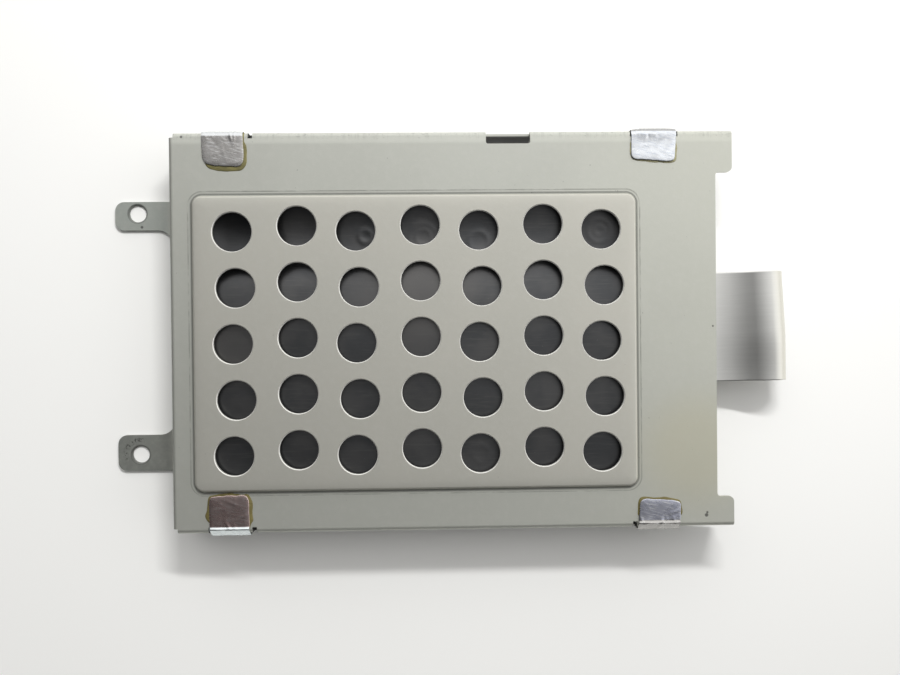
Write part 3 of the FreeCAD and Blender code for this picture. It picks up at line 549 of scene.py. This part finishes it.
def skin(rows):
    """Return points and outward faces of a closed skin over a grid whose columns run round.

    Quads join each row to the next, and a fan to the row's middle closes the first and the last row.
    """
    count, round_count = rows.shape[:2]
    points = np.concatenate([rows.reshape(-1, 3), rows[0].mean(0)[None], rows[-1].mean(0)[None]])
    column = np.arange(round_count)
    after = (column + 1) % round_count
    start = np.arange(count - 1)[:, None] * round_count
    near, far = (start + column, start + after), (start + round_count + after, start + round_count + column)
    quads = np.stack([*near, *far], -1).reshape(-1, 4)
    first_pole, last_pole = count * round_count, count * round_count + 1
    last = (count - 1) * round_count
    fan = np.stack([after, column, np.full(round_count, first_pole)], -1)
    far_fan = np.stack([last + column, last + after, np.full(round_count, last_pole)], -1)
    triangles = np.concatenate([quads[:, [0, 1, 2]], quads[:, [0, 2, 3]], fan, far_fan])
    a, b, c = (points[triangles[:, i]] for i in range(3))
    if np.einsum("ij,ij->", a, np.cross(b, c)) < 0:
        quads, fan, far_fan = quads[:, ::-1], fan[:, ::-1], far_fan[:, ::-1]
    return points, quads.tolist() + fan.tolist() + far_fan.tolist()


def place_piece(name, points, faces, material, node):
    """Make a smooth mesh piece that rides with the part and stands for a CAD node."""
    mesh = bpy.data.meshes.new(name)
    mesh.from_pydata((points * MM).tolist(), [], faces)
    mesh.polygons.foreach_set("use_smooth", np.ones(len(faces), bool))
    mesh.materials.append(material)
    mesh.update()
    piece = bpy.data.objects.new(name, mesh)
    bpy.context.scene.collection.objects.link(piece)
    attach(piece, "root")
    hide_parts(node)
    return piece


def bend_turn(along):
    """Return how far the sheet has turned over the bend, in radians."""
    return np.clip(along / BEND_OUTSIDE, 0, np.pi / 2)


def over_bend(x, along, lift, side):
    """Place points of a wrap: level on the lid, a quarter turn over the bend, then straight down the wall.

    along is measured on the sheet from the start of the bend, negative on the lid. lift is the height off
    the sheet. side is 1 at the back wall and -1 at the front wall.
    """
    turn = bend_turn(along)
    y = SIDE_OUT - BEND_OUTSIDE + np.minimum(along, 0) + (BEND_OUTSIDE + lift) * np.sin(turn)
    drop = np.maximum(along - BEND_ARC, 0)
    z = LID_TOP - BEND_OUTSIDE + (BEND_OUTSIDE + lift) * np.cos(turn) - drop
    return np.stack([x, side * y, z], axis=-1)


def wrap_span(node):
    """Return a wrap's middle and half sizes on the unrolled sheet, along the wall and over the bend."""
    low, high = box_mm(node)
    inner_y = min(abs(low[1]), abs(high[1]))
    lid_end = inner_y - (SIDE_OUT - BEND_OUTSIDE)
    wall_end = BEND_ARC + LID_TOP - BEND_OUTSIDE - low[2]
    middle = np.array([(low[0] + high[0]) / 2, (lid_end + wall_end) / 2])
    half = np.array([(high[0] - low[0]) / 2, (wall_end - lid_end) / 2])
    return middle, half


# Rings and spokes of a patch, the waves in its outline, and the least and most rise of a crease
PATCH_RINGS, PATCH_SPOKES = 44, 240
PATCH_WAVES = np.arange(3, 24)[:, None]
CREASE_RISE = (-0.6, 1.0)


def patch(middle, half, square, edge_wander, skew, rng):
    """Return a patch on the unrolled sheet as rings about its middle, with the share of each ring.

    The outline is a superellipse of the given squareness whose radius wanders by a few waves, leaned by
    a skew.
    """
    share = np.linspace(0, 1, PATCH_RINGS + 1)[1:, None]
    angle = np.linspace(0, 2 * np.pi, PATCH_SPOKES, endpoint=False)[None]
    radius = (np.abs(np.cos(angle)) ** square + np.abs(np.sin(angle)) ** square) ** (-1 / square)
    strength = rng.normal(0, edge_wander, PATCH_WAVES.shape) / np.sqrt(PATCH_WAVES)
    phase = rng.uniform(0, 2 * np.pi, PATCH_WAVES.shape)
    radius = radius * (1 + (strength * np.sin(PATCH_WAVES * angle + phase)).sum(0))
    along = middle[1] + share * radius * np.sin(angle) * half[1]
    x = middle[0] + share * radius * np.cos(angle) * half[0] + skew * (along - middle[1])
    return x, along, share + 0 * angle


def creases(x, along, rng, count, height, width, length):
    """Return the summed height of straight ridges and furrows.

    Each one falls off linearly across its line and as a bell curve along it.
    """
    angle = rng.uniform(0, np.pi, count)
    middle_x = rng.uniform(x.min(), x.max(), count)
    middle_along = rng.uniform(along.min(), along.max(), count)
    rise = rng.uniform(*CREASE_RISE, count) * height
    dx, dy = x[..., None] - middle_x, along[..., None] - middle_along
    across = np.abs(dx * np.sin(angle) - dy * np.cos(angle))
    reach = dx * np.cos(angle) + dy * np.sin(angle)
    return (rise * np.maximum(1 - across / width, 0) * np.exp(-(reach / length) ** 2)).sum(-1)


def smooth(value, low, high):
    """Rise smoothly from 0 at low to 1 at high."""
    share = np.clip((value - low) / (high - low), 0, 1)
    return share * share * (3 - 2 * share)


def wall_side(wrap):
    """Return 1 for a wrap at the back wall and -1 for one at the front wall."""
    return 1 if wrap.startswith("back") else -1


# Foils: seed, lean and slant, squareness and width of the outline, shift along the wall and slide towards
# it, and how flat, puffed and creased the fold is
FOILS = {
    "back_left": dict(seed=11, lean=-0.035, slant=-0.07, square=6.0, reach=1.02, shift=-0.17, slide=-0.3,
                      flat=0.0, puff=0.0, crease=0.08),
    "back_right": dict(seed=23, lean=0.04, slant=-0.067, square=9.0, reach=0.97, shift=0.0, slide=0.0,
                       flat=0.0, puff=0.24, crease=0.16),
    "front_left": dict(seed=37, lean=0.02, slant=-0.02, square=9.0, reach=0.97, shift=0.0, slide=-0.35,
                       flat=1.0, puff=0.0, crease=0.16),
    "front_right": dict(seed=41, lean=-0.05, slant=0.06, square=9.0, reach=0.97, shift=-0.1, slide=0.0,
                        flat=0.95, puff=0.0, crease=0.16),
}
FOIL_LENGTH, FOIL_WANDER = 0.97, 0.006
FOIL_LIFT, FOIL_MOST, FOIL_LEAST, FOIL_GAUGE = 0.34, 0.53, 0.25, 0.05
FOIL_EDGE_DROP, FOIL_EDGE_POWER = 0.06, 10

# Creases: number, height, width and length on the foil, and number, width and length at its fold
FOIL_CREASES = (26, 0.02, 0.45, 1.6)
FOLD_CREASES, FOLD_CREASE_WIDTH, FOLD_CREASE_LENGTH, FOLD_CREASE_PULL = 22, 0.35, 0.9, 0.5

# Fold: its place and spread, the rise, fall and loss of its puff along the wall, and its flat plane
FOLD_PLACE, FOLD_SPREAD = 0.8, 1.6
PUFF_RISE, PUFF_FALL, PUFF_LOSS = (-1.0, -0.45), (0.0, 1.0), 0.5
FLAT_START, FLAT_END, FLAT_RELIEF = (-0.5, 0.0), (1.8, 1.3), 0.6
FLAT_REACH, FLAT_MOST = 0.95, 0.54


def make_foil(wrap, material):
    """Fold a creased foil over the bend: a patch lifted off the sheet by seeded creases, more at the fold.

    A puff lifts the fold, rising from its left end and falling towards its right. Where the fold is flat,
    the lift follows a plane at 45 degrees across the bend instead of its round.
    """
    node, own = f"foil_{wrap}", FOILS[wrap]
    rng = np.random.default_rng(own["seed"])
    middle, half = wrap_span(node)
    half = half * [own["reach"], FOIL_LENGTH]
    x, along, share = patch(middle, half, own["square"], FOIL_WANDER, own["lean"], rng)
    x = x + own["shift"]
    along = along + own["slide"] + own["slant"] * (x - middle[0])
    fold = np.exp(-((along - FOLD_PLACE) / FOLD_SPREAD) ** 2)
    lift = FOIL_LIFT + creases(x, along, rng, *FOIL_CREASES)
    lift = lift + fold * creases(x, along * FOLD_CREASE_PULL, rng, FOLD_CREASES, own["crease"],
                                 FOLD_CREASE_WIDTH, FOLD_CREASE_LENGTH)
    lift = lift - FOIL_EDGE_DROP * share ** FOIL_EDGE_POWER
    reach = (x - middle[0]) / half[0]
    puff = smooth(reach, *PUFF_RISE) * (1 - PUFF_LOSS * smooth(reach, *PUFF_FALL))
    lift = np.clip(lift + own["puff"] * fold * puff, FOIL_LEAST, FOIL_MOST)
    plane = FLAT_REACH / np.cos(bend_turn(along) - np.pi / 4) - BEND_OUTSIDE
    flat = own["flat"] * smooth(along, *FLAT_START) * smooth(along, *FLAT_END)
    lift = np.minimum(lift + flat * (plane + FLAT_RELIEF * (lift - FOIL_LIFT) - lift), FLAT_MOST)
    side = wall_side(wrap)
    top, under = over_bend(x, along, lift, side), over_bend(x, along, lift - FOIL_GAUGE, side)
    points, faces = skin(np.concatenate([top, under[::-1]]))
    return place_piece(f"{node}_creased", points, faces, material, node)


# Glue pads: wander, squareness and size of the outline, and direction, spread and amount of each bulge
GLUES = {
    "back_left": dict(wander=0.006, square=4.5, reach=0.985,
                      bulges=[(-1.75, 0.5, 0.035), (-0.5, 0.4, 0.03)]),
    "back_right": dict(wander=0.008, square=8.0, reach=0.955, bulges=[(-1.6, 0.8, 0.02)]),
    "front_left": dict(wander=0.02, square=8.0, reach=0.985,
                       bulges=[(-2.84, 0.14, 0.12), (-0.3, 0.5, 0.09), (-1.57, 0.7, 0.065)]),
    "front_right": dict(wander=0.012, square=8.0, reach=0.965, bulges=[(-1.3, 0.35, 0.04)]),
}
GLUE_WAIST, GLUE_WAIST_SPAN = 0.12, (-1.7, -0.7)
GLUE_CROWN, GLUE_FOOT, GLUE_EDGE_POWER = 0.19, 0.01, 14
GLUE_LUMPS = (30, 0.04, 0.5, 0.8)
GLUE_PRESS, GLUE_PRESS_SPREAD = 0.8, 0.6


def make_glue(wrap, material):
    """Lay an adhesive pad under a foil: a patch with bulged, wandering edges, crowned and thin at its rim.

    It narrows to a waist towards the bend, where the foil has pressed it thin.
    """
    node, own = f"glue_{wrap}", GLUES[wrap]
    rng = np.random.default_rng(FOILS[wrap]["seed"] + 1)
    middle, half = wrap_span(node)
    x, along, share = patch(middle, half * own["reach"], own["square"], own["wander"], 0.0, rng)
    angle = np.linspace(0, 2 * np.pi, PATCH_SPOKES, endpoint=False)
    bulge = np.zeros(PATCH_SPOKES)
    for direction, spread, amount in own["bulges"]:
        turn = np.angle(np.exp(1j * (angle - direction)))
        bulge = bulge + amount * np.exp(-(turn / spread) ** 2)
    x = middle[0] + (x - middle[0]) * (1 + bulge)
    along = middle[1] + (along - middle[1]) * (1 + bulge * (np.sin(angle) < 0))
    along = along + FOILS[wrap]["slant"] * (x - middle[0])
    x = middle[0] + (x - middle[0]) * (1 - GLUE_WAIST * smooth(along, *GLUE_WAIST_SPAN))
    body = 1 - share ** GLUE_EDGE_POWER
    lift = GLUE_CROWN * body + creases(x, along, rng, *GLUE_LUMPS) * body
    lift = np.clip(lift, GLUE_FOOT, FOIL_LEAST - FOIL_GAUGE)
    lift = lift * (1 - GLUE_PRESS * np.exp(-((along - BEND_ARC / 2) / GLUE_PRESS_SPREAD) ** 2))
    side = wall_side(wrap)
    top, under = over_bend(x, along, lift + GLUE_FOOT, side), over_bend(x, along, 0 * lift, side)
    points, faces = skin(np.concatenate([top, under[::-1]]))
    return place_piece(f"{node}_pad", points, faces, material, node)


# Liner: bonded rim, the way that its sag takes at the left, right, front and back, its slack and waves, and
# the place, radius and height of each ring pressed into it
LINER_BOND, LINER_WAYS = 2.6, (6.0, 6.0, 6.0, 11.0)
LINER_SLACK, LINER_BACK_SLACK, LINER_CORNER_SLACK = 0.12, 1.2, 1.0
LINER_BACK, LINER_CORNER_BACK, LINER_CORNER_LEFT = (2.0, 20.0), (8.0, 20.0), (50.0, 20.0)
LINER_WAVE, LINER_LONG_WAVE, LINER_CROSS_WAVE, LINER_CROSS_PHASE = 0.05, (0.21, 0.13), (-0.08, 0.17), 1.2
LINER_RINGS = [
    (44.3, 17.4, 1.1, 0.10), (54.8, 17.2, 1.4, 0.05), (54.8, 17.2, 2.4, 0.05), (64.9, 16.4, 1.7, 0.06),
    (87.0, 18.1, 0.9, 0.04), (87.0, 18.1, 2.0, 0.05), (64.9, -22.3, 1.5, 0.015),
]
LINER_RING_WIDTH = 0.45
LINER_STATIONS, LINER_ACROSS = 270, 175


def make_liner(material):
    """Hang the film under the air holes: level where it is bonded, slack between, more so towards the back.

    The sag is the slack plus two long waves, within a window that falls as a parabola from the bond at each
    side. Each ring is a bell curve of the distance from its circle.
    """
    low, high = box_mm("liner")
    x = np.linspace(low[0], high[0], LINER_STATIONS)[:, None]
    y = np.linspace(low[1], high[1], LINER_ACROSS)[None]
    inward = [x - low[0], high[0] - x, y - low[1], high[1] - y]
    falls = [1 - (1 - np.clip((d - LINER_BOND) / way, 0, 1)) ** 2 for d, way in zip(inward, LINER_WAYS)]
    window = np.prod(np.broadcast_arrays(*falls), axis=0)
    long_wave = np.sin(LINER_LONG_WAVE[0] * x + LINER_LONG_WAVE[1] * y)
    cross_wave = np.sin(LINER_CROSS_WAVE[0] * x + LINER_CROSS_WAVE[1] * y + LINER_CROSS_PHASE)
    waves = LINER_WAVE * (1 + long_wave * cross_wave)
    sag = LINER_SLACK + LINER_BACK_SLACK * smooth(y, *LINER_BACK) + waves
    sag = sag + LINER_CORNER_SLACK * smooth(y, *LINER_CORNER_BACK) * smooth(x, *LINER_CORNER_LEFT)
    for ring_x, ring_y, radius, height in LINER_RINGS:
        far = np.hypot(x - ring_x, y - ring_y)
        sag = sag - height * np.exp(-((far - radius) / LINER_RING_WIDTH) ** 2)
    top = np.stack([x + 0 * y, y + 0 * x, high[2] - window * sag], -1)
    under = top - [0, 0, high[2] - low[2]]
    points, faces = skin(np.concatenate([top, under[:, ::-1]], axis=1))
    return place_piece("liner_film", points, faces, material, "liner")


# Pull tab: lengths of its runs and bends, and the heading that each one ends at
TAB_RUNS = [
    (6.1, 0.0), (2.9, -52.0), (1.2, -52.0), (3.2, 0.0), (3.2, 7.0), (3.2, 17.0), (1.2, 18.5), (3.2, 0.0),
    (4.2, -75.0), (0.3, -75.0),
]
TAB_BOND, TAB_SHIFT, TAB_SKEW, TAB_END_LEAN = 11.0, 0.25, 0.9, 0.04
TAB_FILM, TAB_WIDTH = 0.2, 20.3
TAB_RIPPLE, TAB_RIPPLE_RATE, TAB_RIPPLE_PHASE = 0.04, 0.32, 0.9
TAB_DROOP, TAB_DROOP_SPAN = 0.35, (1.0, 11.0)
TAB_STATIONS, TAB_ACROSS = 260, 120


def make_tab(material):
    """Carry the film's thin section along its path: it sags under the lid, rises and curls at its end.

    The heading is interpolated between the ends of the runs, and the place is the running sum of its steps.
    A low ripple across the film grows towards the free end and fades at its last curl. The front edge
    droops, and the end is cut a little out of square.
    """
    _, high = box_mm("pull_tab")
    lengths, headings = np.array(TAB_RUNS).T
    ends = np.concatenate([[0], np.cumsum(lengths)])
    length = np.linspace(0, ends[-1], TAB_STATIONS)
    heading = np.radians(np.interp(length, ends, np.concatenate([[headings[0]], headings])))
    step = length[1]
    path_x = (np.cumsum(np.cos(heading)) - 1) * step - TAB_BOND
    path_z = (np.cumsum(np.sin(heading)) - np.sin(heading[0])) * step
    free = smooth(length, lengths[0], ends[-1])
    across = np.linspace(-0.5, 0.5, TAB_ACROSS)
    sideways = TAB_WIDTH * np.concatenate([across, across[::-1]]) + 0 * length[:, None]
    face = np.repeat([0.5, -0.5], TAB_ACROSS) * TAB_FILM
    fade = free * (1 - smooth(length, ends[-3], ends[-1]))
    ripple = TAB_RIPPLE * np.sin(sideways * TAB_RIPPLE_RATE + TAB_RIPPLE_PHASE) * fade[:, None]
    off = face + ripple - TAB_DROOP * smooth(-sideways, *TAB_DROOP_SPAN) * free[:, None]
    along = path_x[:, None] - np.sin(heading)[:, None] * off - TAB_END_LEAN * sideways * free[:, None]
    z = high[2] - TAB_FILM / 2 + path_z[:, None] + np.cos(heading)[:, None] * off
    skew = math.radians(TAB_SKEW)
    x = LID_RIGHT + along * math.cos(skew) - sideways * math.sin(skew)
    y = TAB_SHIFT + along * math.sin(skew) + sideways * math.cos(skew)
    points, faces = skin(np.stack([x, y, z], -1))
    tab = place_piece("pull_tab_film", points, faces, material, "pull_tab")
    flat = np.stack([length[:, None] + 0 * sideways, sideways], -1).reshape(-1, 2)
    flat = np.concatenate([flat, [[0, 0], [ends[-1], 0]]])
    corners = np.zeros(len(tab.data.loops), int)
    tab.data.loops.foreach_get("vertex_index", corners)
    tab.data.uv_layers.new(name="film").data.foreach_set("uv", flat[corners].ravel())
    return tab


def dress(node, material):
    """Give a CAD node its finish."""
    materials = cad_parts[node].data.materials
    materials.clear()
    materials.append(material)


# Stage: the table, the room's light overhead and at the horizon, and the lamp
FLOOR_HALF = 3000.0
ROOM_COLOUR = rgb(1.0, 0.995, 0.985)
OVERHEAD_LIGHT, OVERHEAD_RIGHT, OVERHEAD_BACK, OVERHEAD_MOST = 0.36, 2.2, 3.9, 1.25
HORIZON_LIGHT, HORIZON_RIGHT, HORIZON_BACK, HORIZON_SPAN = 0.56, 0.6, 0.6, (0.24, 0.06)
KEY_DIRECTION, KEY_DISTANCE = (0.28, 0.9, 1.0), 300.0
KEY_WIDTH, KEY_HEIGHT = 120.0, 11.0
KEY_POWER = 0.66


def lay_floor():
    """Lay the white table under the part."""
    corners = np.array([[-1, -1, 0], [1, -1, 0], [1, 1, 0], [-1, 1, 0]]) * FLOOR_HALF * MM
    mesh = bpy.data.meshes.new("table")
    mesh.from_pydata(corners.tolist(), [], [[0, 1, 2, 3]])
    mesh.materials.append(table_white())
    floor = bpy.data.objects.new("table", mesh)
    bpy.context.scene.collection.objects.link(floor)


def light_room():
    """Light the part from a room that brightens towards the back right, with one long lamp there."""
    world = bpy.data.worlds.new("room")
    world.use_nodes = True
    bpy.context.scene.world = world
    room = Loom(world.node_tree)
    x, y, z = room.split(room.add("TexCoord"))
    overhead = room.math("POWER", math.e, x * OVERHEAD_RIGHT + y * OVERHEAD_BACK) * OVERHEAD_LIGHT
    overhead = room.math("MINIMUM", overhead, OVERHEAD_MOST)
    low = room.band(z, *HORIZON_SPAN)
    horizon = room.math("POWER", math.e, x * HORIZON_RIGHT + y * HORIZON_BACK) * HORIZON_LIGHT
    background = world.node_tree.nodes["Background"].inputs
    room.feed(background["Strength"], overhead * (1 - low) + low * horizon)
    background["Color"].default_value = ROOM_COLOUR
    lamp = bpy.data.lights.new("window", "AREA")
    lamp.shape = "RECTANGLE"
    lamp.size, lamp.size_y = KEY_WIDTH * MM, KEY_HEIGHT * MM
    lamp.energy = KEY_POWER
    window = bpy.data.objects.new("window", lamp)
    toward = np.array(KEY_DIRECTION) / np.linalg.norm(KEY_DIRECTION)
    aim = (tray_low + tray_high) / 2
    window.visible_glossy = False
    window.location = (aim + toward * KEY_DISTANCE) * MM
    window.rotation_euler = (math.acos(toward[2]), 0, math.atan2(toward[1], toward[0]) + math.pi / 2)
    bpy.context.scene.collection.objects.link(window)


def set_camera():
    """Set the camera above the lid."""
    lens = bpy.data.cameras.new("camera")
    lens.sensor_width = CAMERA_SENSOR
    lens.lens = CAMERA_SENSOR / 2 / math.tan(math.radians(CAMERA_SPREAD / 2))
    lens.clip_start = MM
    camera = bpy.data.objects.new("camera", lens)
    camera.location = np.array(CAMERA_PLACE) * MM
    camera.rotation_euler = [math.radians(angle) for angle in CAMERA_TURN]
    bpy.context.scene.collection.objects.link(camera)
    bpy.context.scene.camera = camera


def main():
    """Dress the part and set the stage."""
    glue = old_glue()
    for wrap in FOILS:
        make_glue(wrap, glue)
        make_foil(wrap, creased_foil(wrap))
    make_liner(dark_film())
    make_tab(silver_film())
    dress("tray", plated_steel())
    dress("pull_tab_tape", bond_tape())
    lay_floor()
    light_room()
    set_camera()
    bpy.context.scene.view_settings.view_transform = "Standard"


main()
